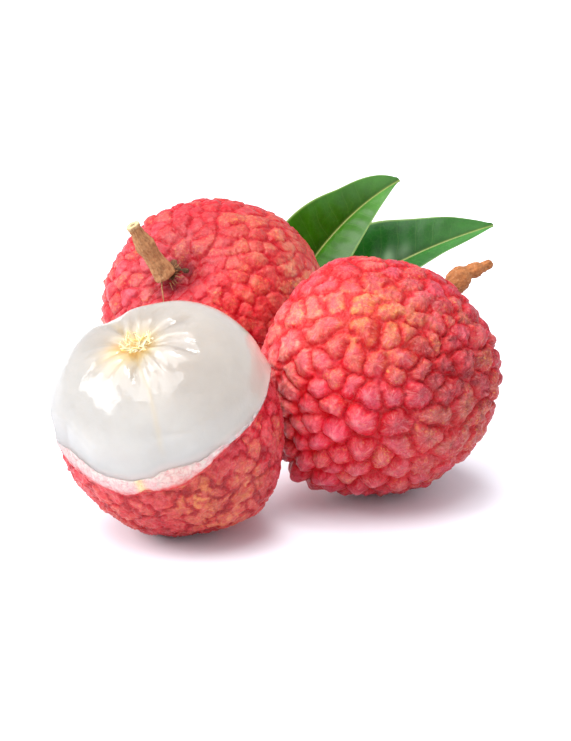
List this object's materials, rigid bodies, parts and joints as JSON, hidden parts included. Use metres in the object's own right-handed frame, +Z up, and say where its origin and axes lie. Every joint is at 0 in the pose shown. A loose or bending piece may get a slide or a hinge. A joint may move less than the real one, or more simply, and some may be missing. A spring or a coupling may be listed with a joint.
{
  "type": "bunch of lychees",
  "caption": "Bunch of ripe lychees lying on a table: whole fruits with bumpy red rind and woody stalks, a half-peeled fruit showing white flesh, and a sprig of green leaves.",
  "frame": {"origin": "Centre of the bunch's box at table height: the fruits rest on z = 0.", "axes": "+Y runs from the peeled fruit at the front to the sprig of leaves at the back and is the longest extent; +X runs to the side, from the peeled fruit towards the whole fruit beside it; +Z is up, the shortest extent."},
  "size_m": [0.0716, 0.0996, 0.0388],
  "materials": {
    "rind": "matt, bumpy",
    "peeled_rind": "matt, nearly smooth",
    "flesh": "wet, translucent",
    "bark": "matt",
    "leaf": "satin"
  },
  "bodies": {
    "root": {"right_fruit": "rind", "right_calyx": "bark", "right_stalk": "bark", "left_fruit": "rind", "left_calyx": "bark", "left_stalk": "bark", "left_withered_carpel": "bark", "peeled_rind": "peeled_rind", "peeled_flesh": "flesh", "sprig_twig": "bark", "tall_leaf": "leaf", "side_leaf": "leaf"}
  },
  "joints": []
}
